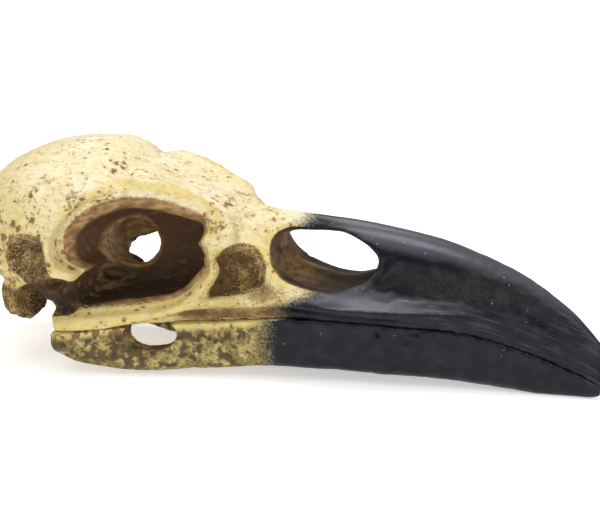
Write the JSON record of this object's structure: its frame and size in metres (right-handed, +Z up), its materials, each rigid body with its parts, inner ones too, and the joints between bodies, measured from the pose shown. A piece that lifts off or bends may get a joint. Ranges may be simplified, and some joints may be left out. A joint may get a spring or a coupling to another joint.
{
  "type": "raven skull replica",
  "caption": "Life-size cast of a raven skull with closed jaws: round cream braincase, open orbits and nostrils, and a long curved black bill.",
  "frame": {"origin": "middle of the bounding box in X and Y, at the lowest point of the lower jaw, where the skull rests", "axes": "+X towards the bill tip, +Y to the bird's left, +Z up"},
  "size_m": [0.1252, 0.041, 0.0422],
  "materials": {
    "bone_cream": "cream painted resin with brown specks, satin-matte",
    "bone_brown_wash": "dark brown wash in the recesses, matte",
    "black_sheath": "black satin paint with a soft sheen"
  },
  "bodies": {
    "root": {"upper_bill": "black_sheath", "lower_bill": "black_sheath", "skull_roof": "bone_cream", "braincase": "bone_cream", "lacrimal_left": "bone_cream", "lacrimal_right": "bone_cream", "jugal_left": "bone_cream", "jugal_right": "bone_cream", "jaw_ramus_left": "bone_cream", "jaw_ramus_right": "bone_cream", "palate": "bone_brown_wash", "interorbital_septum": "bone_brown_wash", "quadrate_left": "bone_brown_wash", "quadrate_right": "bone_brown_wash"}
  },
  "joints": []
}
